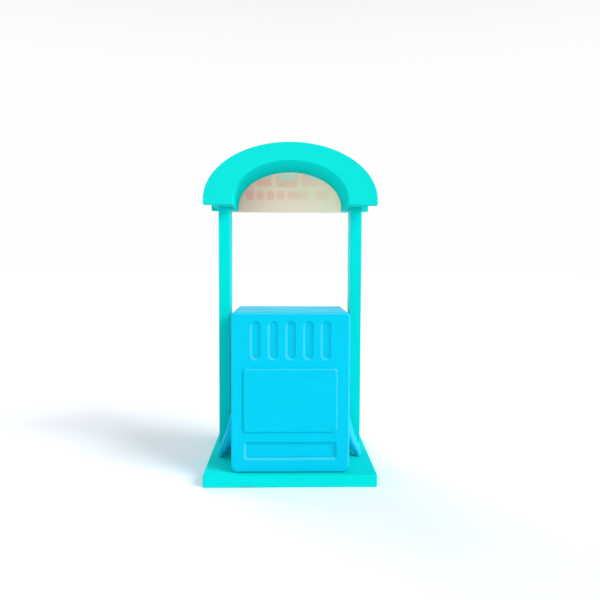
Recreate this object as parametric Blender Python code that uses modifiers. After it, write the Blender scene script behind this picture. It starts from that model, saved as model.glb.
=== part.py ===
"""Desk stand for headphones.

A square base plate carries two posts.  The posts plug into an arched saddle
with a channel for the headband, and a thin D-shaped sign closes the saddle's
far side.  A console-shaped box with two flared struts stands on the base,
between the posts.

Frame: +Z up, origin at the middle of the base's underside, -Y is the side
that the console's vents face.  Metres.
"""
import math

import bmesh
import bpy
from mathutils import Matrix, Vector

for old in list(bpy.data.objects):
    bpy.data.objects.remove(old, do_unlink=True)

MM = 0.001
GAP = 0.3 * MM                     # left between pieces that touch

# --- base plate ---------------------------------------------------------
BASE_SIDE = 100.0 * MM
BASE_T = 7.0 * MM
BASE_CORNER_R = 1.0 * MM
BASE_EDGE = 0.4 * MM

# --- posts --------------------------------------------------------------
POST_X = 41.3 * MM                 # post centre line from the middle
POST_W = 7.0 * MM
POST_D = 17.0 * MM
POST_EDGE = 0.4 * MM
TENON_W = 4.2 * MM
TENON_D = 12.0 * MM
TENON_BOTTOM = 4.7 * MM            # length below the post's shoulder
TENON_TOP = 5.7 * MM
SOCKET_BASE = 5.0 * MM             # socket depth in the base
SOCKET_FOOT = 6.0 * MM             # socket depth in the saddle's feet

# --- saddle arch --------------------------------------------------------
FOOT_Z = 163.0 * MM                # underside of the feet
SPRING_Z = 166.0 * MM              # the ellipses' centre height
ARCH_D = 48.0 * MM
LIP_T = 5.0 * MM                   # each lip, front and rear
OUTER_A, OUTER_B = 52.5 * MM, 34.4 * MM
CORE_A, CORE_B = 47.5 * MM, 29.4 * MM
INNER_A, INNER_B = 34.6 * MM, 23.3 * MM
ARCH_STEPS = 44
ARCH_EDGE = 0.4 * MM

# --- sign panel ---------------------------------------------------------
SIGN_A, SIGN_B = 40.0 * MM, 28.2 * MM
SIGN_BOTTOM_Z = 162.4 * MM
SIGN_T = 1.2 * MM
SIGN_CORNER_R = 1.5 * MM

# --- console ------------------------------------------------------------
CON_W = 68.4 * MM
CON_D = 55.0 * MM                  # with its front panel
CON_NEAR_Y = -45.75 * MM
CON_Z0 = BASE_T + GAP
CON_Z1 = 99.9 * MM
CON_R_TOP = 2.2 * MM
CON_R_BOTTOM = 3.8 * MM
CON_WALL = 3.0 * MM
CON_EDGE = 0.8 * MM
PANEL_T = 3.0 * MM                 # console front panel
PANEL_RIM_T = 1.4 * MM
PANEL_RIM_L = 3.2 * MM
SLOT_W, SLOT_H, SLOT_DEPTH = 5.8 * MM, 22.6 * MM, 1.1 * MM
SLOT_PITCH = 10.1 * MM
SLOT_TOP_Z = 95.2 * MM
RECESS_W, RECESS_H, RECESS_DEPTH = 53.4 * MM, 10.1 * MM, 1.4 * MM
RECESS_Z = 19.9 * MM
COVER_W, COVER_H = 54.4 * MM, 37.1 * MM
COVER_Z = 49.3 * MM
COVER_PROUD = 1.1 * MM
COVER_SEAT = 0.9 * MM              # depth of the seat in the shell's wall
COVER_R = 1.4 * MM
COVER_EASE = 0.35 * MM

# --- struts -------------------------------------------------------------
STRUT_Y = -14.5 * MM
STRUT_DEPTH_SCALE = 1.15           # deeper along Y than they are wide
STRUT_SIDES = 16
STRUT_PEG_R = 1.4 * MM
STRUT_PEG_L = 2.0 * MM
STRUT_PEG_Z = (24.0 * MM, 36.0 * MM)

TEAL = (0.004, 0.66, 0.62)
BLUE = (0.008, 0.54, 0.76)
CREAM = (0.72, 0.66, 0.53)

model = bpy.data.collections.new("headphone_stand")
tools = bpy.data.collections.new("cutters")
bpy.context.scene.collection.children.link(model)
bpy.context.scene.collection.children.link(tools)


# ------------------------------------------------------------------------
# materials and small helpers
# ------------------------------------------------------------------------
def material(name, rgb, rough, alpha=1.0):
    mat = bpy.data.materials.new(name)
    mat.use_nodes = True
    mat.diffuse_color = (*rgb, alpha)
    shader = mat.node_tree.nodes["Principled BSDF"]
    shader.inputs["Base Color"].default_value = (*rgb, 1.0)
    shader.inputs["Roughness"].default_value = rough
    shader.inputs["Metallic"].default_value = 0.0
    shader.inputs["Alpha"].default_value = alpha
    return mat


def finish(ob, mat):
    """Put a piece in the model with its material and its shading."""
    ob.data.materials.clear()
    ob.data.materials.append(mat)
    for coll in list(ob.users_collection):
        coll.objects.unlink(ob)
    model.objects.link(ob)
    ob.data.shade_smooth()
    ob.data.set_sharp_from_angle(angle=math.radians(32))
    return ob


def cutter(ob):
    for coll in list(ob.users_collection):
        coll.objects.unlink(ob)
    tools.objects.link(ob)
    ob.hide_render = True
    ob.display_type = 'WIRE'
    return ob


def box(name, size, location):
    mesh = bpy.data.meshes.new(name)
    bm = bmesh.new()
    bmesh.ops.create_cube(bm, size=1.0)
    bmesh.ops.scale(bm, vec=Vector(size), verts=bm.verts)
    bm.to_mesh(mesh)
    bm.free()
    ob = bpy.data.objects.new(name, mesh)
    ob.location = location
    bpy.context.scene.collection.objects.link(ob)
    return ob


def rod_x(name, radius, length, location, sides=20):
    mesh = bpy.data.meshes.new(name)
    bm = bmesh.new()
    bmesh.ops.create_cone(bm, cap_ends=True, segments=sides, radius1=radius,
                          radius2=radius, depth=length,
                          matrix=Matrix.Rotation(math.pi / 2, 4, 'Y'))
    bm.to_mesh(mesh)
    bm.free()
    ob = bpy.data.objects.new(name, mesh)
    ob.location = location
    bpy.context.scene.collection.objects.link(ob)
    return ob


def plate(name, outline, thickness, location, upright=True):
    """A flat outline given thickness: a filled 2D curve, made a mesh.

    Upright plates have their outline in XZ and their thickness along Y.
    """
    curve = bpy.data.curves.new(name + "_outline", 'CURVE')
    curve.dimensions = '2D'
    curve.fill_mode = 'BOTH'
    curve.extrude = thickness / 2
    spline = curve.splines.new('POLY')
    spline.points.add(len(outline) - 1)
    for point, (u, v) in zip(spline.points, outline):
        point.co = (u, v, 0.0, 1.0)
    spline.use_cyclic_u = True
    guide = bpy.data.objects.new(name + "_guide", curve)
    if upright:
        guide.rotation_euler = (math.pi / 2, 0.0, 0.0)
    bpy.context.scene.collection.objects.link(guide)
    bpy.context.view_layer.update()
    graph = bpy.context.evaluated_depsgraph_get()
    mesh = bpy.data.meshes.new_from_object(guide.evaluated_get(graph))
    mesh.name = name
    mesh.transform(guide.matrix_world)
    bm = bmesh.new()
    bm.from_mesh(mesh)
    bmesh.ops.remove_doubles(bm, verts=bm.verts, dist=0.00001)
    bmesh.ops.dissolve_limit(bm, angle_limit=math.radians(0.2),
                             verts=bm.verts, edges=bm.edges)
    bmesh.ops.recalc_face_normals(bm, faces=bm.faces)
    bm.to_mesh(mesh)
    bm.free()
    bpy.data.objects.remove(guide, do_unlink=True)
    bpy.data.curves.remove(curve)
    ob = bpy.data.objects.new(name, mesh)
    ob.location = location
    bpy.context.scene.collection.objects.link(ob)
    return ob


def horn(name, spine, sides, depth_scale, location):
    """A tapering round bar along a spine of (x, z, radius): a bevelled curve,
    made a mesh and stretched along Y."""
    curve = bpy.data.curves.new(name + "_spine", 'CURVE')
    curve.dimensions = '3D'
    curve.bevel_depth = 1.0 * MM
    curve.bevel_resolution = sides // 2 - 2
    curve.use_fill_caps = True
    spline = curve.splines.new('POLY')
    spline.points.add(len(spine) - 1)
    for point, (x, z, radius) in zip(spline.points, spine):
        point.co = (x, 0.0, z, 1.0)
        point.radius = radius / MM
    guide = bpy.data.objects.new(name + "_guide", curve)
    bpy.context.scene.collection.objects.link(guide)
    bpy.context.view_layer.update()
    graph = bpy.context.evaluated_depsgraph_get()
    mesh = bpy.data.meshes.new_from_object(guide.evaluated_get(graph))
    mesh.name = name
    mesh.transform(Matrix.Scale(depth_scale, 4, (0.0, 1.0, 0.0)))
    bm = bmesh.new()
    bm.from_mesh(mesh)
    bmesh.ops.remove_doubles(bm, verts=bm.verts, dist=0.00001)
    bmesh.ops.recalc_face_normals(bm, faces=bm.faces)
    bm.to_mesh(mesh)
    bm.free()
    bpy.data.objects.remove(guide, do_unlink=True)
    bpy.data.curves.remove(curve)
    ob = bpy.data.objects.new(name, mesh)
    ob.location = location
    bpy.context.scene.collection.objects.link(ob)
    return ob


def boolean(ob, other, operation='DIFFERENCE'):
    mod = ob.modifiers.new(operation.title(), 'BOOLEAN')
    mod.operation = operation
    mod.solver = 'EXACT'
    mod.object = other
    return mod


def bevel(ob, width, segments=2, angle=40.0):
    mod = ob.modifiers.new("Edges", 'BEVEL')
    mod.width = width
    mod.segments = segments
    mod.limit_method = 'ANGLE'
    mod.angle_limit = math.radians(angle)
    return mod


# ------------------------------------------------------------------------
# outlines
# ------------------------------------------------------------------------
def corner(cx, cy, radius, start, sweep=90.0, steps=4):
    """Points of one rounded corner, in degrees."""
    return [(cx + radius * math.cos(math.radians(start + sweep * i / steps)),
             cy + radius * math.sin(math.radians(start + sweep * i / steps)))
            for i in range(steps + 1)]


def rounded_rect(width, height, r_top, r_bottom=None, steps=4):
    r_bottom = r_top if r_bottom is None else r_bottom
    w, h = width / 2, height / 2
    return (corner(w - r_top, h - r_top, r_top, 0, steps=steps)
            + corner(-w + r_top, h - r_top, r_top, 90, steps=steps)
            + corner(-w + r_bottom, -h + r_bottom, r_bottom, 180, steps=steps)
            + corner(w - r_bottom, -h + r_bottom, r_bottom, 270, steps=steps))


def stadium(width, height, steps=8):
    r = width / 2
    return (corner(0, height / 2 - r, r, 0, 180, steps)
            + corner(0, -height / 2 + r, r, 180, 180, steps))


def half_ellipse(a, b, steps=ARCH_STEPS):
    """From (a, 0) over the top to (-a, 0)."""
    return [(a * math.cos(math.pi * i / steps),
             b * math.sin(math.pi * i / steps)) for i in range(steps + 1)]


def smooth_through(points, steps):
    """Catmull-Rom through a few design points, ends included."""
    pts = [Vector(p) for p in points]
    pts = [2 * pts[0] - pts[1]] + pts + [2 * pts[-1] - pts[-2]]
    out = []
    for i in range(1, len(pts) - 2):
        p0, p1, p2, p3 = pts[i - 1:i + 3]
        for k in range(steps):
            t = k / steps
            out.append(tuple(0.5 * (2 * p1 + (p2 - p0) * t
                       + (2 * p0 - 5 * p1 + 4 * p2 - p3) * t * t
                       + (3 * p1 - p0 - 3 * p2 + p3) * t ** 3)))
    out.append(tuple(pts[-2]))
    return out


teal_base = material("teal_plastic_base", TEAL, 0.5)
teal_post_l = material("teal_plastic_post_left", TEAL, 0.5)
teal_post_r = material("teal_plastic_post_right", TEAL, 0.5)
teal_arch = material("teal_plastic_saddle", TEAL, 0.5)
cream_sign = material("cream_sheet", CREAM, 0.45, 0.85)
blue_shell = material("blue_plastic_shell", BLUE, 0.5)
blue_front = material("blue_plastic_front_panel", BLUE, 0.5)
blue_cover = material("blue_plastic_cover", BLUE, 0.5)
blue_strut_l = material("blue_plastic_strut_left", BLUE, 0.5)
blue_strut_r = material("blue_plastic_strut_right", BLUE, 0.5)

# ------------------------------------------------------------------------
# base plate: rounded square, two blind sockets for the posts
# ------------------------------------------------------------------------
base = plate("base_plate",
             rounded_rect(BASE_SIDE, BASE_SIDE, BASE_CORNER_R), BASE_T,
             (0, 0, BASE_T / 2), upright=False)
bevel(base, BASE_EDGE)
for side in (-1, 1):
    sock = cutter(box("cut_base_socket",
                      (TENON_W + 2 * GAP, TENON_D + 2 * GAP, SOCKET_BASE * 2),
                      (side * POST_X, 0, BASE_T)))
    boolean(base, sock)
finish(base, teal_base)

# ------------------------------------------------------------------------
# posts: a bar with a tenon at each end
# ------------------------------------------------------------------------
post_z0 = BASE_T + GAP
post_z1 = FOOT_Z - GAP
for side, name, mat in ((-1, "post_left", teal_post_l),
                        (1, "post_right", teal_post_r)):
    length = post_z1 - post_z0
    post = box(name, (POST_W, POST_D, length),
               (side * POST_X, 0, (post_z0 + post_z1) / 2))
    bevel(post, POST_EDGE)
    reach = length + TENON_BOTTOM + TENON_TOP
    tenon = cutter(box("tenon_" + name, (TENON_W, TENON_D, reach),
                       (side * POST_X, 0,
                        post_z0 - TENON_BOTTOM + reach / 2)))
    boolean(post, tenon, 'UNION')
    finish(post, mat)

# ------------------------------------------------------------------------
# saddle arch: full outline, channel cut round it, sockets in its feet
# ------------------------------------------------------------------------
drop = SPRING_Z - FOOT_Z
foot_r = 0.9 * MM
outer = half_ellipse(OUTER_A, OUTER_B)
inner = half_ellipse(INNER_A, INNER_B)
outline = (corner(OUTER_A - foot_r, -drop + foot_r, foot_r, -90, steps=3)
           + outer
           + corner(-OUTER_A + foot_r, -drop + foot_r, foot_r, 180, steps=3)
           + [(-INNER_A, -drop)] + list(reversed(inner))
           + [(INNER_A, -drop)])
arch = plate("saddle_arch", outline, ARCH_D, (0, 0, SPRING_Z))
core = half_ellipse(CORE_A, CORE_B)
wide, high, low = 1.3 * OUTER_A, 1.3 * OUTER_B, -3 * drop
channel = cutter(plate(
    "cut_channel",
    [(CORE_A, low), (wide, low), (wide, high), (-wide, high), (-wide, low),
     (-CORE_A, low)] + list(reversed(core)),
    ARCH_D - 2 * LIP_T, (0, 0, SPRING_Z)))
boolean(arch, channel)
bevel(arch, ARCH_EDGE)
for side in (-1, 1):
    sock = cutter(box("cut_foot_socket",
                      (TENON_W + 2 * GAP, TENON_D + 2 * GAP, SOCKET_FOOT * 2),
                      (side * POST_X, 0, FOOT_Z)))
    boolean(arch, sock)
finish(arch, teal_arch)

# ------------------------------------------------------------------------
# sign panel: D-shaped sheet against the rear lip
# ------------------------------------------------------------------------
sign_drop = SPRING_Z - SIGN_BOTTOM_Z
sign_outline = (corner(SIGN_A - SIGN_CORNER_R, -sign_drop + SIGN_CORNER_R,
                       SIGN_CORNER_R, -90)
                + half_ellipse(SIGN_A, SIGN_B)
                + corner(-SIGN_A + SIGN_CORNER_R,
                         -sign_drop + SIGN_CORNER_R, SIGN_CORNER_R, 180))
sign = plate("sign_panel", sign_outline, SIGN_T,
             (0, ARCH_D / 2 + GAP + SIGN_T / 2, SPRING_Z))
finish(sign, cream_sign)

# ------------------------------------------------------------------------
# console shell: five-walled box, open on its far side
# ------------------------------------------------------------------------
con_h = CON_Z1 - CON_Z0
con_zc = (CON_Z0 + CON_Z1) / 2
shell_d = CON_D - PANEL_T - GAP
shell_far_y = CON_NEAR_Y + shell_d
shell = plate("console_shell",
              rounded_rect(CON_W, con_h, CON_R_TOP, CON_R_BOTTOM),
              shell_d, (0, CON_NEAR_Y + shell_d / 2, con_zc))
for i in range(-2, 3):
    slot = cutter(plate("cut_slot", stadium(SLOT_W, SLOT_H), SLOT_DEPTH * 2,
                        (i * SLOT_PITCH, CON_NEAR_Y,
                         SLOT_TOP_Z - SLOT_H / 2)))
    boolean(shell, slot)
recess = cutter(plate("cut_recess",
                      rounded_rect(RECESS_W, RECESS_H, 1.2 * MM),
                      RECESS_DEPTH * 2, (0, CON_NEAR_Y, RECESS_Z)))
boolean(shell, recess)
bevel(shell, CON_EDGE)
cavity = cutter(plate("cut_cavity",
                      rounded_rect(CON_W - 2 * CON_WALL, con_h - 2 * CON_WALL,
                                   1.0 * MM),
                      2 * (shell_d - CON_WALL),
                      (0, shell_far_y, con_zc)))
boolean(shell, cavity)
seat = cutter(plate("cut_cover_seat",
                    rounded_rect(COVER_W - 1.4 * MM, COVER_H - 1.4 * MM,
                                 COVER_R),
                    COVER_SEAT * 2, (0, CON_NEAR_Y, COVER_Z)))
boolean(shell, seat)
for side in (-1, 1):
    for z in STRUT_PEG_Z:
        depth = STRUT_PEG_L + 2 * GAP
        hole = cutter(rod_x("cut_peg_hole", STRUT_PEG_R + GAP, depth * 2,
                            (side * CON_W / 2, STRUT_Y, z)))
        boolean(shell, hole)
finish(shell, blue_shell)

# ------------------------------------------------------------------------
# console cover: raised panel with a tongue that sits in the shell's seat
# ------------------------------------------------------------------------
cover_t = COVER_PROUD - GAP
cover = plate("console_cover", rounded_rect(COVER_W, COVER_H, COVER_R),
              cover_t, (0, CON_NEAR_Y - GAP - cover_t / 2, COVER_Z))
bevel(cover, COVER_EASE)
tongue_l = COVER_SEAT + cover_t / 2
tongue = cutter(plate("cover_tongue",
                      rounded_rect(COVER_W - 1.4 * MM - 2 * GAP,
                                   COVER_H - 1.4 * MM - 2 * GAP, COVER_R),
                      tongue_l,
                      (0, CON_NEAR_Y + COVER_SEAT - GAP - tongue_l / 2,
                       COVER_Z)))
boolean(cover, tongue, 'UNION')
finish(cover, blue_cover)

# ------------------------------------------------------------------------
# console front panel: closes the shell on its far side
# ------------------------------------------------------------------------
panel_y0 = shell_far_y + GAP
panel = plate("console_front_panel",
              rounded_rect(CON_W, con_h, CON_R_TOP, CON_R_BOTTOM),
              PANEL_T, (0, panel_y0 + PANEL_T / 2, con_zc))
bevel(panel, CON_EDGE)
rim_w = CON_W - 2 * CON_WALL - 2 * GAP
rim_h = con_h - 2 * CON_WALL - 2 * GAP
rim_l = PANEL_RIM_L + PANEL_T / 2
rim = cutter(plate("panel_rim", rounded_rect(rim_w, rim_h, 0.8 * MM), rim_l,
                   (0, panel_y0 + PANEL_T / 2 - rim_l / 2, con_zc)))
boolean(panel, rim, 'UNION')
rim_hollow = cutter(plate("cut_panel_rim",
                          rounded_rect(rim_w - 2 * PANEL_RIM_T,
                                       rim_h - 2 * PANEL_RIM_T, 0.6 * MM),
                          2 * PANEL_RIM_L, (0, panel_y0 - PANEL_RIM_L,
                                            con_zc)))
boolean(panel, rim_hollow)
finish(panel, blue_front)

# ------------------------------------------------------------------------
# struts: horns that flare down from the console's sides, cut flat against
# the shell and the base, and pegged into the shell
# ------------------------------------------------------------------------
root_x = CON_W / 2 + GAP
strut_spine = [(root_x + dx * MM, z * MM, r * MM) for dx, z, r in
               ((-4.2, 48.0, 3.6), (-2.7, 40.0, 3.9), (-1.0, 32.0, 4.1),
                (1.15, 24.5, 4.0), (3.95, 17.6, 3.5), (6.95, 12.2, 2.75),
                (8.3, 9.4, 2.05), (8.75, 6.2, 1.6))]
for side, name, mat in ((-1, "strut_left", blue_strut_l),
                        (1, "strut_right", blue_strut_r)):
    spine = [(side * x, z, r) for x, z, r in smooth_through(strut_spine, 4)]
    strut = horn(name, spine, STRUT_SIDES, STRUT_DEPTH_SCALE, (0, STRUT_Y, 0))
    tall = 120 * MM
    inside = cutter(box("cut_strut_root", (40 * MM, 40 * MM, tall),
                        (side * (root_x - 20 * MM), STRUT_Y, tall / 2)))
    boolean(strut, inside)
    below = cutter(box("cut_strut_foot", (60 * MM, 40 * MM, 20 * MM),
                       (side * root_x, STRUT_Y, CON_Z0 - 10 * MM)))
    boolean(strut, below)
    for z in STRUT_PEG_Z:
        peg_l = STRUT_PEG_L + 1.2 * MM
        peg = cutter(rod_x("peg_" + name, STRUT_PEG_R, peg_l,
                           (side * (CON_W / 2 - STRUT_PEG_L + GAP
                                    + peg_l / 2), STRUT_Y, z)))
        boolean(strut, peg, 'UNION')
    finish(strut, mat)
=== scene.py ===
"""Looks for the headphone stand: camera, light, fine shapes and printed-plastic materials."""
import math

import bmesh
import bpy
from mathutils import Matrix, Vector


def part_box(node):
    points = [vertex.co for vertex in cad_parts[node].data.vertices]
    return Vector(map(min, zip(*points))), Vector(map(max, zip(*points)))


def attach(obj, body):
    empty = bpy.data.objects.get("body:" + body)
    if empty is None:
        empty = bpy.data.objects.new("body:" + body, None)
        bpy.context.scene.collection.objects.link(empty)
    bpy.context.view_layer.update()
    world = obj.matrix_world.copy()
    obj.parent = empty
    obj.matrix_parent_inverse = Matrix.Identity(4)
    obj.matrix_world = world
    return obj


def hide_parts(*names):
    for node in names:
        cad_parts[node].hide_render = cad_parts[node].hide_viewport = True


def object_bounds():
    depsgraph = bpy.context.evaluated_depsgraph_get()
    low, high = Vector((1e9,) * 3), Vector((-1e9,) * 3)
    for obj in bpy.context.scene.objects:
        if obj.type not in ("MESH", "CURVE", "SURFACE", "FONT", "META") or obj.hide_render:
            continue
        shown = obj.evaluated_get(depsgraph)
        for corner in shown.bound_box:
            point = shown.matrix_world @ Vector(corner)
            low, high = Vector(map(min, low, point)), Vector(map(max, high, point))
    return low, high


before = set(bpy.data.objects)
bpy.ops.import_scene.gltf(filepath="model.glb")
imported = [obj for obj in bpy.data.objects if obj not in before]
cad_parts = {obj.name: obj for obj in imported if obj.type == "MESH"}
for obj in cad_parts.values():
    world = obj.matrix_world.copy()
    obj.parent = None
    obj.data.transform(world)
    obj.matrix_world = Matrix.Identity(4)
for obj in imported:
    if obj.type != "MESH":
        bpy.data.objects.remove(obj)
cad_low, cad_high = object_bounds()

MM = 0.001
scene = bpy.context.scene
scene.view_settings.view_transform = 'Standard'
scene.view_settings.look = 'None'
scene.view_settings.exposure = 0.0
scene.view_settings.gamma = 1.0


# ------------------------------------------------------------------------
# camera at the viewing angle, light, floor
# ------------------------------------------------------------------------
def aim(yaw, pitch, roll):
    """Camera matrix: yaw to the right of +Y, pitch down, roll about the view, in radians."""
    look = Vector((math.sin(yaw) * math.cos(pitch),
                   math.cos(yaw) * math.cos(pitch), -math.sin(pitch)))
    right = Vector((math.cos(yaw), -math.sin(yaw), 0.0))
    up = right.cross(look)
    r = math.cos(roll) * right + math.sin(roll) * up
    u = -math.sin(roll) * right + math.cos(roll) * up
    return Matrix((r, u, -look)).transposed().to_4x4()


cam_data = bpy.data.cameras.new("camera")
cam_data.sensor_width = 36.0
cam_data.lens = 36.385
cam_data.clip_start = 0.01
cam_data.clip_end = 50.0
cam = bpy.data.objects.new("camera", cam_data)
cam.matrix_world = (Matrix.Translation((-3.058 * MM, -389.943 * MM, 126.923 * MM))
                    @ aim(0.02425, 0.05742, 0.00381))
scene.collection.objects.link(cam)
scene.camera = cam

# a pale room: lightest toward the horizon, dimmer overhead
world = bpy.data.worlds.new("studio")
world.use_nodes = True
w_nt = world.node_tree
w_bg = w_nt.nodes["Background"]
w_co = w_nt.nodes.new("ShaderNodeTexCoord")
w_xyz = w_nt.nodes.new("ShaderNodeSeparateXYZ")
w_ramp = w_nt.nodes.new("ShaderNodeValToRGB")
w_nt.links.new(w_co.outputs["Generated"], w_xyz.inputs[0])
w_nt.links.new(w_xyz.outputs["Z"], w_ramp.inputs["Fac"])
w_nt.links.new(w_ramp.outputs["Color"], w_bg.inputs["Color"])
w_ramp.color_ramp.interpolation = 'EASE'
w_ramp.color_ramp.elements[0].position = 0.27
w_ramp.color_ramp.elements[0].color = (1.0, 1.0, 1.0, 1)
w_ramp.color_ramp.elements[1].position = 0.85
w_ramp.color_ramp.elements[1].color = (0.40, 0.40, 0.41, 1)
w_bg.inputs["Strength"].default_value = 0.99
scene.world = world


def sun_light(name, direction, irradiance, angle, colour=(1, 1, 1)):
    """A distant soft light; direction points from the object to the light."""
    data = bpy.data.lights.new(name, 'SUN')
    data.energy = irradiance
    data.angle = math.radians(angle)
    data.color = colour
    ob = bpy.data.objects.new(name, data)
    d = Vector(direction).normalized()
    ob.location = d
    ob.rotation_euler = (-d).to_track_quat('-Z', 'Y').to_euler()
    scene.collection.objects.link(ob)
    return ob


def toward(azimuth, elevation):
    """Azimuth 0 is the camera's side and 90 its right."""
    a, e = math.radians(azimuth), math.radians(elevation)
    return (math.sin(a) * math.cos(e), -math.cos(a) * math.cos(e), math.sin(e))


sun_light("key", toward(56, 34), 2.9, 30.0, (1.0, 0.995, 0.97))
sun_light("back", toward(215, 20), 1.9, 50.0, (1.0, 1.0, 1.0))


def stage_material():
    mat = bpy.data.materials.new("studio_floor")
    mat.use_nodes = True
    nt = mat.node_tree
    sh = nt.nodes["Principled BSDF"]
    sh.inputs["Roughness"].default_value = 0.9
    sh.inputs["Specular IOR Level"].default_value = 0.0
    co = nt.nodes.new("ShaderNodeTexCoord")
    no = nt.nodes.new("ShaderNodeTexNoise")
    no.inputs["Scale"].default_value = 3.0
    ramp = nt.nodes.new("ShaderNodeValToRGB")
    ramp.color_ramp.elements[0].color = (0.84, 0.87, 0.92, 1)
    ramp.color_ramp.elements[1].color = (0.86, 0.89, 0.94, 1)
    nt.links.new(co.outputs["Object"], no.inputs["Vector"])
    nt.links.new(no.outputs["Fac"], ramp.inputs["Fac"])
    nt.links.new(ramp.outputs["Color"], sh.inputs["Base Color"])
    return mat


bm = bmesh.new()
bmesh.ops.create_circle(bm, cap_ends=True, segments=96, radius=12.0)
floor_mesh = bpy.data.meshes.new("studio_floor")
bm.to_mesh(floor_mesh)
bm.free()
floor = bpy.data.objects.new("studio_floor", floor_mesh)
floor.location = (0, 0, cad_low.z - 0.02 * MM)
scene.collection.objects.link(floor)
floor_mesh.materials.append(stage_material())


# ------------------------------------------------------------------------
# mesh helpers
# ------------------------------------------------------------------------
def corner(cx, cy, radius, start, sweep=90.0, steps=8):
    return [(cx + radius * math.cos(math.radians(start + sweep * i / steps)),
             cy + radius * math.sin(math.radians(start + sweep * i / steps)))
            for i in range(steps + 1)]


def rounded_rect(width, height, r_top, r_bottom=None, steps=8):
    r_bottom = r_top if r_bottom is None else r_bottom
    w, h = width / 2, height / 2
    return (corner(w - r_top, h - r_top, r_top, 0, steps=steps)
            + corner(-w + r_top, h - r_top, r_top, 90, steps=steps)
            + corner(-w + r_bottom, -h + r_bottom, r_bottom, 180, steps=steps)
            + corner(w - r_bottom, -h + r_bottom, r_bottom, 270, steps=steps))


def stadium(width, height, steps=16):
    r = width / 2
    return (corner(0, height / 2 - r, r, 0, 180, steps)
            + corner(0, -height / 2 + r, r, 180, 180, steps))


def half_ellipse(a, b, steps=120):
    return [(a * math.cos(math.pi * i / steps), b * math.sin(math.pi * i / steps))
            for i in range(steps + 1)]


def smooth_through(points, steps):
    pts = [Vector(p) for p in points]
    pts = [2 * pts[0] - pts[1]] + pts + [2 * pts[-1] - pts[-2]]
    out = []
    for i in range(1, len(pts) - 2):
        p0, p1, p2, p3 = pts[i - 1:i + 3]
        for k in range(steps):
            t = k / steps
            out.append(tuple(0.5 * (2 * p1 + (p2 - p0) * t
                       + (2 * p0 - 5 * p1 + 4 * p2 - p3) * t * t
                       + (3 * p1 - p0 - 3 * p2 + p3) * t ** 3)))
    out.append(tuple(pts[-2]))
    return out


def obj_from(name, bm):
    bmesh.ops.recalc_face_normals(bm, faces=bm.faces)
    mesh = bpy.data.meshes.new(name)
    bm.to_mesh(mesh)
    bm.free()
    ob = bpy.data.objects.new(name, mesh)
    scene.collection.objects.link(ob)
    return ob


def loft(name, rings):
    """A closed solid through rings of equal point count."""
    bm = bmesh.new()
    rows = [[bm.verts.new(p) for p in ring] for ring in rings]
    n = len(rows[0])
    for a, b in zip(rows, rows[1:]):
        for i in range(n):
            bm.faces.new((a[i], a[(i + 1) % n], b[(i + 1) % n], b[i]))
    bm.faces.new(rows[0])
    bm.faces.new(list(reversed(rows[-1])))
    return obj_from(name, bm)


def upright(name, outline, y0, y1, cx=0.0, cz=0.0):
    """Outline in XZ, thickness from y0 to y1."""
    return loft(name, [[(cx + u, y, cz + v) for u, v in outline] for y in (y0, y1)])


def flat(name, outline, z0, z1, cx=0.0, cy=0.0):
    return loft(name, [[(cx + u, cy + v, z) for u, v in outline] for z in (z0, z1)])


def block(name, low, high):
    (x0, y0, z0), (x1, y1, z1) = low, high
    return loft(name, [[(x0, y0, z), (x1, y0, z), (x1, y1, z), (x0, y1, z)]
                       for z in (z0, z1)])


def cut(ob, other, operation='DIFFERENCE'):
    mod = ob.modifiers.new("cut", 'BOOLEAN')
    mod.operation = operation
    mod.solver = 'EXACT'
    mod.object = other
    settle(ob)
    bpy.data.objects.remove(other, do_unlink=True)
    return ob


def soften(ob, width, segments=3, angle=40.0):
    mod = ob.modifiers.new("edges", 'BEVEL')
    mod.width = width
    mod.segments = segments
    mod.limit_method = 'ANGLE'
    mod.angle_limit = math.radians(angle)
    mod.use_clamp_overlap = True
    settle(ob)
    return ob


def settle(ob):
    """Apply the object's modifiers to its mesh."""
    bpy.context.view_layer.update()
    graph = bpy.context.evaluated_depsgraph_get()
    new = bpy.data.meshes.new_from_object(ob.evaluated_get(graph))
    ob.modifiers.clear()
    old = ob.data
    ob.data = new
    bpy.data.meshes.remove(old)
    return ob


def dress(ob, mat, body, slot, *nodes, sharp=31.0):
    """Smooth shading with flat faces kept flat, material, and its place in the frame."""
    ob.data.shade_smooth()
    ob.data.set_sharp_from_angle(angle=math.radians(sharp))
    mod = ob.modifiers.new("normals", 'WEIGHTED_NORMAL')
    mod.weight = 100
    mod.keep_sharp = True
    settle(ob)
    ob.data.name = ob.name
    ob.data.materials.clear()
    ob.data.materials.append(mat)
    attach(ob, body)
    if nodes:
        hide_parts(*nodes)
    return ob


# ------------------------------------------------------------------------
# sizes read from the frame
# ------------------------------------------------------------------------
base_lo, base_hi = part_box("base_plate")
arch_lo, arch_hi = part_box("saddle_arch")
shell_lo, shell_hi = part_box("console_shell")
front_lo, front_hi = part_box("console_front_panel")
cover_lo, cover_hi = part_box("console_cover")
sign_lo, sign_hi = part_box("sign_panel")
GAP = 0.3 * MM

# ------------------------------------------------------------------------
# materials
# ------------------------------------------------------------------------
LAYER = 0.2 * MM


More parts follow.
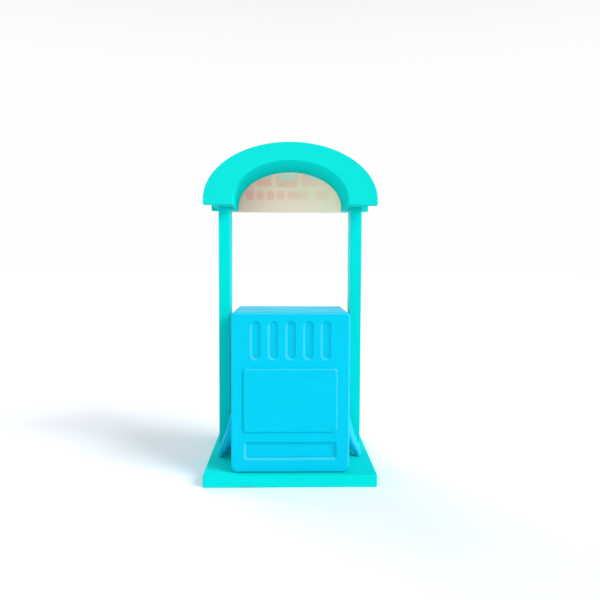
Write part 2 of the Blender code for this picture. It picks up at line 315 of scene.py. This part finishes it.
def printed(name, rgb, layer='Z', line=0.022, grain=0.03, rough=0.5, spec=0.04, tint=0.05,
            seed=0.0):
    """3D-printed plastic: layer lines across one axis, a fine grain, uneven sheen."""
    mat = bpy.data.materials.new(name)
    mat.use_nodes = True
    nt = mat.node_tree
    sh = nt.nodes["Principled BSDF"]
    sh.inputs["Metallic"].default_value = 0.0
    sh.inputs["Specular IOR Level"].default_value = spec
    co = nt.nodes.new("ShaderNodeTexCoord")

    def mapped(scale, offset=0.0):
        m = nt.nodes.new("ShaderNodeMapping")
        m.inputs["Scale"].default_value = scale
        m.inputs["Location"].default_value = (offset + seed, offset - seed, offset)
        nt.links.new(co.outputs["Object"], m.inputs["Vector"])
        return m.outputs["Vector"]

    def noise(vector, scale, detail=2.0, roughness=0.5):
        n = nt.nodes.new("ShaderNodeTexNoise")
        n.inputs["Scale"].default_value = scale
        n.inputs["Detail"].default_value = detail
        n.inputs["Roughness"].default_value = roughness
        nt.links.new(vector, n.inputs["Vector"])
        return n.outputs["Fac"]

    def math_node(op, a, b):
        m = nt.nodes.new("ShaderNodeMath")
        m.operation = op
        for sock, val in zip(m.inputs, (a, b)):
            if isinstance(val, (int, float)):
                sock.default_value = val
            else:
                nt.links.new(val, sock)
        return m.outputs[0]

    across = {'X': (1, .012, .012), 'Y': (.012, 1, .012), 'Z': (.012, .012, 1)}[layer]
    # uneven layers: long streaks along the print, irregular across it
    streaks = noise(mapped(tuple(900 * a for a in across), 3.1), 1.0, 3.0, 0.62)
    broad = noise(mapped(tuple(120 * a for a in across), 7.7), 1.0, 1.0)
    # the regular ridge of each layer
    wave = nt.nodes.new("ShaderNodeTexWave")
    wave.wave_type = 'BANDS'
    wave.bands_direction = layer
    wave.wave_profile = 'SIN'
    wave.inputs["Scale"].default_value = 1.0
    wave.inputs["Distortion"].default_value = 0.0
    # the texture's period is pi/10 units
    nt.links.new(mapped((0.1 * math.pi / LAYER,) * 3), wave.inputs["Vector"])
    speck = noise(mapped((1, 1, 1), 1.3), 2600.0, 2.0, 0.6)
    mottle = noise(mapped((1, 1, 1), 5.9), 55.0, 3.0, 0.55)

    # colour
    ramp = nt.nodes.new("ShaderNodeValToRGB")
    dark = tuple(c * (1 - tint) for c in rgb)
    light = tuple(min(1.0, c * (1 + tint)) for c in rgb)
    ramp.color_ramp.elements[0].position = 0.25
    ramp.color_ramp.elements[0].color = (*dark, 1)
    ramp.color_ramp.elements[1].position = 0.75
    ramp.color_ramp.elements[1].color = (*light, 1)
    blend = math_node('ADD', math_node('MULTIPLY', streaks, 0.34),
                      math_node('ADD', math_node('MULTIPLY', mottle, 0.40),
                                math_node('MULTIPLY', speck, 0.26)))
    nt.links.new(blend, ramp.inputs["Fac"])
    nt.links.new(ramp.outputs["Color"], sh.inputs["Base Color"])

    # sheen varies a little
    rr = nt.nodes.new("ShaderNodeMapRange")
    rr.inputs["From Min"].default_value = 0.3
    rr.inputs["From Max"].default_value = 0.7
    rr.inputs["To Min"].default_value = rough - 0.06
    rr.inputs["To Max"].default_value = rough + 0.08
    nt.links.new(mottle, rr.inputs["Value"])
    nt.links.new(rr.outputs["Result"], sh.inputs["Roughness"])

    # relief in millimetres: streaky layers + regular ridge + grain
    height = math_node('ADD',
                       math_node('ADD', math_node('MULTIPLY', streaks, line * 1.6),
                                 math_node('MULTIPLY', wave.outputs["Fac"], line * 0.5)),
                       math_node('ADD', math_node('MULTIPLY', speck, grain),
                                 math_node('MULTIPLY', broad, line * 1.2)))
    bump = nt.nodes.new("ShaderNodeBump")
    bump.inputs["Strength"].default_value = 1.0
    bump.inputs["Distance"].default_value = MM
    nt.links.new(height, bump.inputs["Height"])
    nt.links.new(bump.outputs["Normal"], sh.inputs["Normal"])
    return mat


TEAL_BASE = (0.002, 0.625, 0.605)
TEAL_POST = (0.0005, 0.60, 0.562)
TEAL_ARCH = (0.004, 0.60, 0.545)
BLUE = (0.0005, 0.484, 0.682)
teal_base = printed("teal_base", TEAL_BASE, 'Z', line=0.007, grain=0.013, rough=0.6, spec=0.002)
teal_post = printed("teal_post", TEAL_POST, 'X', line=0.008, grain=0.012, spec=0.016, seed=2.0)
teal_arch = printed("teal_saddle", TEAL_ARCH, 'Y', line=0.010, grain=0.040, rough=0.6, spec=0.006,
                    tint=0.07, seed=4.0)
# painted light: a lighter copy of the saddle's teal for the arch's hollow
teal_hollow_painted_light = printed("teal_hollow_painted_light", (0.0, 0.670, 0.595), 'Y', line=0.008, grain=0.014, rough=0.6,
                      spec=0.002, seed=4.0)
blue_box = printed("blue_console", BLUE, 'Z', line=0.016, grain=0.014, rough=0.42, spec=0.030,
                   seed=6.0)
blue_part = printed("blue_fittings", BLUE, 'Z', line=0.022, grain=0.012, rough=0.42, spec=0.030,
                    seed=8.0)
# painted highlight: rounded edges turned up and to the right, toward the key light, get a paler
# blue
blue_painted_highlight = printed("blue_painted_highlights", (0.036, 0.490, 0.690), 'Z', line=0.012, grain=0.012, rough=0.42,
                    spec=0.030, seed=6.0)


def paint_edge_highlights(ob, facing=(0.35, -0.85, 0.40), least=0.872):
    """Paint a highlight on a console piece: faces turned toward the key light get the paler blue.
    """
    n0 = Vector(facing).normalized()
    ob.data.materials.append(blue_painted_highlight)
    for poly in ob.data.polygons:
        if poly.normal.dot(n0) > least:
            poly.material_index = len(ob.data.materials) - 1


def sign_material():
    """Thin cream sheet with a plain printed pattern: soft ovals above two rows of
    dashes.  It is crisp on the far face and shows faintly through to the near one."""
    mat = bpy.data.materials.new("cream_sheet")
    mat.use_nodes = True
    nt = mat.node_tree
    sh = nt.nodes["Principled BSDF"]
    sh.inputs["Specular IOR Level"].default_value = 0.25
    sh.inputs["Subsurface Weight"].default_value = 1.0
    sh.inputs["Subsurface Radius"].default_value = (1.0, 0.95, 0.85)
    sh.inputs["Subsurface Scale"].default_value = 3.0 * MM
    co = nt.nodes.new("ShaderNodeTexCoord")
    xyz = nt.nodes.new("ShaderNodeSeparateXYZ")
    nt.links.new(co.outputs["Object"], xyz.inputs[0])

    def m(op, a, b=0.0, c=0.0):
        n = nt.nodes.new("ShaderNodeMath")
        n.operation = op
        for sock, val in zip(n.inputs, (a, b, c)):
            if isinstance(val, (int, float)):
                sock.default_value = val
            else:
                nt.links.new(val, sock)
        return n.outputs[0]

    def step(value, low, high):
        n = nt.nodes.new("ShaderNodeMapRange")
        n.interpolation_type = 'SMOOTHSTEP'
        n.inputs["From Min"].default_value = low
        n.inputs["From Max"].default_value = high
        nt.links.new(value, n.inputs["Value"])
        return n.outputs["Result"]

    def mix(fac, a, b):
        n = nt.nodes.new("ShaderNodeMix")
        n.data_type = 'RGBA'
        nt.links.new(fac, n.inputs[0])
        for sock, val in zip(n.inputs[6:8], (a, b)):
            if isinstance(val, tuple):
                sock.default_value = (*val, 1)
            else:
                nt.links.new(val, sock)
        return n.outputs[2]

    # millimetres across and up from the sheet's lower edge
    x = m('MULTIPLY', xyz.outputs["X"], 1000.0)
    up = m('MULTIPLY', m('SUBTRACT', xyz.outputs["Z"], sign_lo.z), 1000.0)
    far = step(m('MULTIPLY', xyz.outputs["Y"], 1000.0), sign_lo.y * 1000 + 0.35,
               sign_hi.y * 1000 - 0.35)

    def dash(cx, cz, half_w, half_h):
        """A rounded dash: 1 inside, 0 outside, soft at its edge."""
        dx = m('MAXIMUM', m('SUBTRACT', m('ABSOLUTE', m('SUBTRACT', x, cx)), half_w - 1.6), 0.0)
        dz = m('MAXIMUM', m('SUBTRACT', m('ABSOLUTE', m('SUBTRACT', up, cz)), half_h - 1.6), 0.0)
        d = m('SQRT', m('ADD', m('MULTIPLY', dx, dx), m('MULTIPLY', dz, dz)))
        return m('SUBTRACT', 1.0, step(d, 0.4, 2.6))

    def union(shapes):
        out = shapes[0]
        for shape in shapes[1:]:
            out = m('MAXIMUM', out, shape)
        return out

    lower = union([dash(-27.0 + 6.9 * k, 11.6, 2.7, 3.2) for k in range(4)]
                  + [dash(5.0, 11.6, 7.0, 2.6), dash(21.5, 11.6, 4.2, 2.8)])
    upper = union([dash(-17.5, 21.6, 5.2, 4.2), dash(-2.0, 21.4, 7.6, 4.4),
                   dash(13.5, 21.4, 5.6, 4.0)])
    ovals = union([dash(-17.6, 24.6, 5.2, 2.1), dash(-1.6, 24.4, 6.0, 2.4),
                   dash(15.4, 23.8, 3.6, 2.0)])
    # the ink is stronger toward one side, as if unevenly printed
    fade = m('SUBTRACT', 1.0, m('MULTIPLY', step(x, -30.0, 24.0), 0.55))
    noise = nt.nodes.new("ShaderNodeTexNoise")
    noise.inputs["Scale"].default_value = 160.0
    noise.inputs["Detail"].default_value = 3.0
    nt.links.new(co.outputs["Object"], noise.inputs["Vector"])
    speck = nt.nodes.new("ShaderNodeTexNoise")
    speck.inputs["Scale"].default_value = 2600.0
    nt.links.new(co.outputs["Object"], speck.inputs["Vector"])

    # painted light and shade: the sheet is painted darker at the left and lighter toward the
    # right
    plain = mix(step(x, -34.0, -6.0), SIGN_LEFT_PAINTED_SHADE, SIGN_MIDDLE)
    plain = mix(step(x, -6.0, 28.0), plain, SIGN_RIGHT_PAINTED_LIGHT)
    plain = mix(m('MULTIPLY', noise.outputs["Fac"], 0.10), plain, SIGN_LEFT_PAINTED_SHADE)
    strength = m('MULTIPLY', fade, m('ADD', m('MULTIPLY', far, 0.58), 0.30))
    strength = m('MULTIPLY', strength, m('ADD', m('MULTIPLY', noise.outputs["Fac"], 0.5), 0.75))
    tinted = mix(m('MULTIPLY', union([lower, upper]), strength), plain, (0.86, 0.20, 0.19))
    teal = m('MULTIPLY', ovals, m('ADD', m('MULTIPLY', far, 0.5), 0.40))
    tinted = mix(teal, tinted, (0.30, 0.84, 0.76))
    nt.links.new(tinted, sh.inputs["Base Color"])
    rr = nt.nodes.new("ShaderNodeMapRange")
    rr.inputs["To Min"].default_value = 0.38
    rr.inputs["To Max"].default_value = 0.52
    nt.links.new(noise.outputs["Fac"], rr.inputs["Value"])
    nt.links.new(rr.outputs["Result"], sh.inputs["Roughness"])
    bump = nt.nodes.new("ShaderNodeBump")
    bump.inputs["Strength"].default_value = 1.0
    bump.inputs["Distance"].default_value = MM
    nt.links.new(m('ADD', m('MULTIPLY', speck.outputs["Fac"], 0.006),
                   m('MULTIPLY', noise.outputs["Fac"], 0.05)), bump.inputs["Height"])
    nt.links.new(bump.outputs["Normal"], sh.inputs["Normal"])
    return mat


# the sheet's colour at its left, middle and right: the darker left is painted shade, the lighter
# right is painted light
SIGN_LEFT_PAINTED_SHADE = (0.770, 0.535, 0.470)
SIGN_MIDDLE = (0.935, 0.655, 0.570)
SIGN_RIGHT_PAINTED_LIGHT = (0.985, 0.705, 0.595)
cream = sign_material()

# ------------------------------------------------------------------------
# base plate
# ------------------------------------------------------------------------
side = base_hi.x - base_lo.x
base = flat("base_plate_fine", rounded_rect(side, side, 0.9 * MM), base_lo.z, base_hi.z)
soften(base, 0.45 * MM)
for name in ("post_left", "post_right"):
    lo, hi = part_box(name)
    cx = (lo.x + hi.x) / 2
    cut(base, block("socket", (cx - 2.4 * MM, -6.3 * MM, base_hi.z - 5 * MM),
                    (cx + 2.4 * MM, 6.3 * MM, base_hi.z + 5 * MM)))
# the plate has lifted a little off the print bed at one spot of its near edge
warp = [(-24.3 * MM + 4.8 * MM * math.cos(a), 0.5 * MM * math.sin(a))
        for a in [math.pi * k / 24 for k in range(25)]]
cut(base, upright("warp", warp + [(-29.1 * MM, -1 * MM), (-19.5 * MM, -1 * MM)],
                  base_lo.y - 1 * MM, base_lo.y + 3.5 * MM, 0, base_lo.z))
dress(base, teal_base, "stand", "teal_plastic", "base_plate")

# ------------------------------------------------------------------------
# posts
# ------------------------------------------------------------------------
foot_z = arch_lo.z
for name in ("post_left", "post_right"):
    lo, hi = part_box(name)
    cx = (lo.x + hi.x) / 2
    post = block(name + "_fine", (lo.x, lo.y, base_hi.z + 0.04 * MM),
                 (hi.x, hi.y, foot_z - 0.04 * MM))
    soften(post, 0.4 * MM)
    cut(post, block("tenon", (cx - 2.1 * MM, -6 * MM, lo.z), (cx + 2.1 * MM, 6 * MM, hi.z)),
        'UNION')
    dress(post, teal_post, "stand", "teal_plastic", name)

# ------------------------------------------------------------------------
# saddle arch: one section swept over three ellipses
# ------------------------------------------------------------------------
SPRING = arch_lo.z + 3.0 * MM
OUT = (arch_hi.x, arch_hi.z - SPRING)
CORE = (47.5 * MM, 29.4 * MM)
INN = (34.6 * MM, 23.3 * MM)
HALF_D = arch_hi.y
LIP = 5.0 * MM


def on(curve, t, inset):
    """Point of an ellipse at parameter t, moved inward along its normal; beyond
    the ends the leg goes straight down."""
    a, b = curve
    x, z = a * math.cos(t), b * math.sin(t)
    nx, nz = math.cos(t) / a, math.sin(t) / b
    k = math.hypot(nx, nz)
    return x - nx / k * inset, z - nz / k * inset


def rounded(curve, y_edge, toward, r, sign, steps=4):
    """Convex corner, from the curve's surface to the flat face at y_edge."""
    return [(curve, sign * r * (1 - math.cos(math.pi / 2 * i / steps)),
             y_edge + toward * r * (1 - math.sin(math.pi / 2 * i / steps)))
            for i in range(steps + 1)]


def hollowed(curve, y_wall, toward, r, steps=4):
    """Concave corner, from the wall at y_wall to the curve's surface."""
    return [(curve, -r * (1 - math.sin(math.pi / 2 * i / steps)),
             y_wall + toward * r * (1 - math.cos(math.pi / 2 * i / steps)))
            for i in range(steps + 1)]


R_E = 0.5 * MM
section = (rounded(INN, -HALF_D, 1, R_E, -1)[::-1]
           + rounded(INN, HALF_D, -1, R_E, -1)
           + rounded(OUT, HALF_D, -1, R_E, 1)[::-1]
           + rounded(OUT, HALF_D - LIP, 1, R_E, 1)
           + hollowed(CORE, HALF_D - LIP, -1, 0.5 * MM)
           + hollowed(CORE, -HALF_D + LIP, 1, 0.5 * MM)[::-1]
           + rounded(OUT, -HALF_D + LIP, -1, R_E, 1)[::-1]
           + rounded(OUT, -HALF_D, 1, R_E, 1))


def arch_ring(t, drop):
    ring = []
    for curve, inset, y in section:
        x, z = on(curve, t, inset)
        ring.append((x, y, SPRING + z - drop))
    return ring


ARC = 150
rings = [arch_ring(0.0, 3.0 * MM)]
rings += [arch_ring(math.pi * i / ARC, 0.0) for i in range(ARC + 1)]
rings += [arch_ring(math.pi, 3.0 * MM)]
arch = loft("saddle_arch_fine", rings)
soften(arch, 0.45 * MM, angle=50.0)
for name in ("post_left", "post_right"):
    lo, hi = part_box(name)
    cx = (lo.x + hi.x) / 2
    cut(arch, block("socket", (cx - 2.4 * MM, -6.3 * MM, foot_z - 6 * MM),
                    (cx + 2.4 * MM, 6.3 * MM, foot_z + 6 * MM)))
dress(arch, teal_arch, "stand", "teal_plastic", "saddle_arch")
# its hollow is smoother, and painted a lighter teal than its outside: painted light under the
# arch
arch.data.materials.append(teal_hollow_painted_light)
for poly in arch.data.polygons:
    inward = Vector((-poly.center.x, 0.0, arch_lo.z - poly.center.z)).normalized()
    if poly.normal.dot(inward) > 0.6:
        poly.material_index = 1

# ------------------------------------------------------------------------
# console shell
# ------------------------------------------------------------------------
con_w = shell_hi.x - shell_lo.x
con_h = shell_hi.z - shell_lo.z
con_zc = (shell_lo.z + shell_hi.z) / 2
near = shell_lo.y
WALL = 3.0 * MM


def pocket(name, shape, width, height, depth, cx, cz, lip, ease_side, ease_top, steps=18):
    """Cutter for a shallow pocket in the near face.  Its left and lower walls are
    straight below a rounded lip (lip is how wide it is, how deep it is); the other
    two walls ease down into the floor."""
    wide, lip_depth = lip
    rings = [[(cx + u, near - 1.5 * MM, cz + v) for u, v in shape(width, height, 0.0)]]
    for k in range(steps + 1):
        t = 3.04 * (k / steps) ** 1.5
        d = 1.05 * depth * (1 - math.exp(-t))
        s = max(0.0, 1 - d / lip_depth)
        left = wide * math.sqrt(1 - s * s)
        right, top = ease_side * t, ease_top * t
        rings.append([(cx + (left - right) / 2 + u, near + d, cz + (left - top) / 2 + v)
                      for u, v in shape(width - left - right, height - left - top, d)])
    return loft(name, rings[::-1])


shell = upright("console_shell_fine", rounded_rect(con_w, con_h, 2.2 * MM, 3.8 * MM),
                shell_lo.y, shell_hi.y, 0, con_zc)
soften(shell, 0.9 * MM, segments=5)
for i in range(-2, 3):
    cut(shell, pocket("slot", lambda w, h, d: stadium(w, h), 6.1 * MM, 22.8 * MM, 0.98 * MM,
                      i * 10.1 * MM, 83.9 * MM, (1.3 * MM, 0.50 * MM), 1.45 * MM, 0.75 * MM))
cut(shell, pocket("recess", lambda w, h, d: rounded_rect(w, h, 1.2 * MM - 0.5 * d),
                  53.6 * MM, 10.6 * MM, 1.30 * MM, 0.0, 19.8 * MM, (1.4 * MM, 0.60 * MM),
                  1.5 * MM, 0.7 * MM))
cut(shell, upright("cavity", rounded_rect(con_w - 2 * WALL, con_h - 2 * WALL, 1.0 * MM),
                   shell_lo.y + WALL, shell_hi.y + 10 * MM, 0, con_zc))
cover_zc = (cover_lo.z + cover_hi.z) / 2
cover_w = cover_hi.x - cover_lo.x
cover_h = cover_hi.z - cover_lo.z
cut(shell, upright("seat", rounded_rect(cover_w - 1.4 * MM, cover_h - 1.4 * MM, 1.4 * MM),
                   near - 1.5 * MM, near + 0.9 * MM, 0, cover_zc))
PEGS = (24.0 * MM, 36.0 * MM)
for name in ("strut_left", "strut_right"):
    lo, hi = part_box(name)
    sgn = -1 if lo.x < 0 else 1
    cy = (lo.y + hi.y) / 2
    for z in PEGS:
        hole = loft("peg_hole", [[(sgn * (con_w / 2 + d), cy + 1.7 * MM * math.cos(a),
                                   z + 1.7 * MM * math.sin(a))
                                  for a in [2 * math.pi * k / 32 for k in range(32)]]
                                 for d in (-2.6 * MM, 3 * MM)])
        cut(shell, hole)
dress(shell, blue_box, "console", "blue_plastic", "console_shell")
# painted highlight on the shell's edges turned toward the key light
paint_edge_highlights(shell)

# ------------------------------------------------------------------------
# console cover: raised panel with rounded edges, small pips near its corners
# ------------------------------------------------------------------------
proud = 0.72 * (near - cover_lo.y)
cover_rings = []
for grow, out in ((0.0, -0.02 * MM), (0.0, 0.30 * proud), (-0.06 * MM, 0.52 * proud),
                  (-0.20 * MM, 0.72 * proud), (-0.40 * MM, 0.87 * proud),
                  (-0.68 * MM, 0.97 * proud), (-1.05 * MM, proud)):
    cover_rings.append([(u, near - out, cover_zc + v) for u, v in
                        rounded_rect(cover_w + 2 * grow, cover_h + 2 * grow,
                                     1.9 * MM + 0.6 * grow)])
cover = loft("console_cover_fine", cover_rings)
cut(cover, upright("tongue", rounded_rect(cover_w - 2.0 * MM, cover_h - 2.0 * MM, 1.3 * MM),
                   near - 0.3 * MM, near + 0.6 * MM, 0, cover_zc), 'UNION')
for sx in (-1, 1):
    for sz in (-1, 1):
        px = sx * (cover_w / 2 - 2.1 * MM)
        pz = cover_zc + sz * (cover_h / 2 - 2.1 * MM)
        bmp = bmesh.new()
        bmesh.ops.create_uvsphere(bmp, u_segments=20, v_segments=12, radius=0.50 * MM,
                                  matrix=Matrix.Translation((px, near - proud + 0.15 * MM, pz)))
        cut(cover, obj_from("pip", bmp), 'UNION')
dress(cover, blue_part, "console", "blue_plastic", "console_cover")
# painted highlight on the cover's edges turned toward the key light
paint_edge_highlights(cover)

# ------------------------------------------------------------------------
# console front panel, on the far side
# ------------------------------------------------------------------------
panel = upright("console_front_panel_fine", rounded_rect(con_w, con_h, 2.2 * MM, 3.8 * MM),
                shell_hi.y + GAP, front_hi.y, 0, con_zc)
soften(panel, 0.9 * MM, segments=5)
rim_w, rim_h = con_w - 2 * WALL - 2 * GAP, con_h - 2 * WALL - 2 * GAP
cut(panel, upright("rim", rounded_rect(rim_w, rim_h, 0.8 * MM), front_lo.y,
                   shell_hi.y + GAP + 1.5 * MM, 0, con_zc), 'UNION')
cut(panel, upright("rim_hollow", rounded_rect(rim_w - 2.8 * MM, rim_h - 2.8 * MM, 0.6 * MM),
                   front_lo.y - 3 * MM, shell_hi.y + GAP, 0, con_zc))
dress(panel, blue_box, "console", "blue_plastic", "console_front_panel")

# ------------------------------------------------------------------------
# struts
# ------------------------------------------------------------------------
root = con_w / 2 + GAP
spine = smooth_through([(root + dx * MM, z * MM, r * MM) for dx, z, r in
                        ((-4.2, 48.0, 3.6), (-2.7, 40.0, 3.9), (-1.0, 32.0, 4.1),
                         (1.15, 24.5, 4.0), (3.95, 17.6, 3.5), (6.95, 12.2, 2.75),
                         (8.3, 9.4, 2.05), (8.75, 6.2, 1.6))], 12)


def horn(name, path, sides, depth_scale, cy):
    """A tapering round bar along (x, z, radius), stretched along Y."""
    rings = []
    for k, (x, z, r) in enumerate(path):
        x0, z0, _ = path[max(0, k - 1)]
        x1, z1, _ = path[min(len(path) - 1, k + 1)]
        run = math.hypot(x1 - x0, z1 - z0)
        nx, nz = (z1 - z0) / run, -(x1 - x0) / run
        rings.append([(x + nx * r * math.cos(a), cy + depth_scale * r * math.sin(a),
                       z + nz * r * math.cos(a))
                      for a in [2 * math.pi * i / sides for i in range(sides)]])
    return loft(name, rings)


for name in ("strut_left", "strut_right"):
    lo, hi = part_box(name)
    sgn = -1 if lo.x < 0 else 1
    cy = (lo.y + hi.y) / 2
    strut = horn(name + "_fine", [(sgn * x, z, r) for x, z, r in spine], 40, 1.15, cy)
    a, b = sorted((sgn * (root - 30 * MM), sgn * root))
    cut(strut, block("root", (a, cy - 20 * MM, -10 * MM), (b, cy + 20 * MM, 80 * MM)))
    cut(strut, block("foot", (-80 * MM, cy - 20 * MM, -20 * MM), (80 * MM, cy + 20 * MM, lo.z)))
    for z in PEGS:
        peg = loft("peg", [[(sgn * (con_w / 2 + d), cy + 1.4 * MM * math.cos(a),
                             z + 1.4 * MM * math.sin(a))
                            for a in [2 * math.pi * k / 32 for k in range(32)]]
                           for d in (-1.7 * MM, 1.0 * MM)])
        cut(strut, peg, 'UNION')
    dress(strut, blue_part, "console", "blue_plastic", name, sharp=40.0)
    # painted highlight on the strut's faces turned toward the key light
    paint_edge_highlights(strut)

# ------------------------------------------------------------------------
# sign panel
# ------------------------------------------------------------------------
sign_a = sign_hi.x
drop = SPRING - sign_lo.z
sign_r = 1.5 * MM
sign_outline = (corner(sign_a - sign_r, -drop + sign_r, sign_r, -90)
                + half_ellipse(sign_a, sign_hi.z - SPRING)
                + corner(-sign_a + sign_r, -drop + sign_r, sign_r, 180))
sign = upright("sign_panel_fine", sign_outline, sign_lo.y, sign_hi.y, 0, SPRING)
soften(sign, 0.2 * MM, segments=2)
dress(sign, cream, "stand", "cream_sheet", "sign_panel")
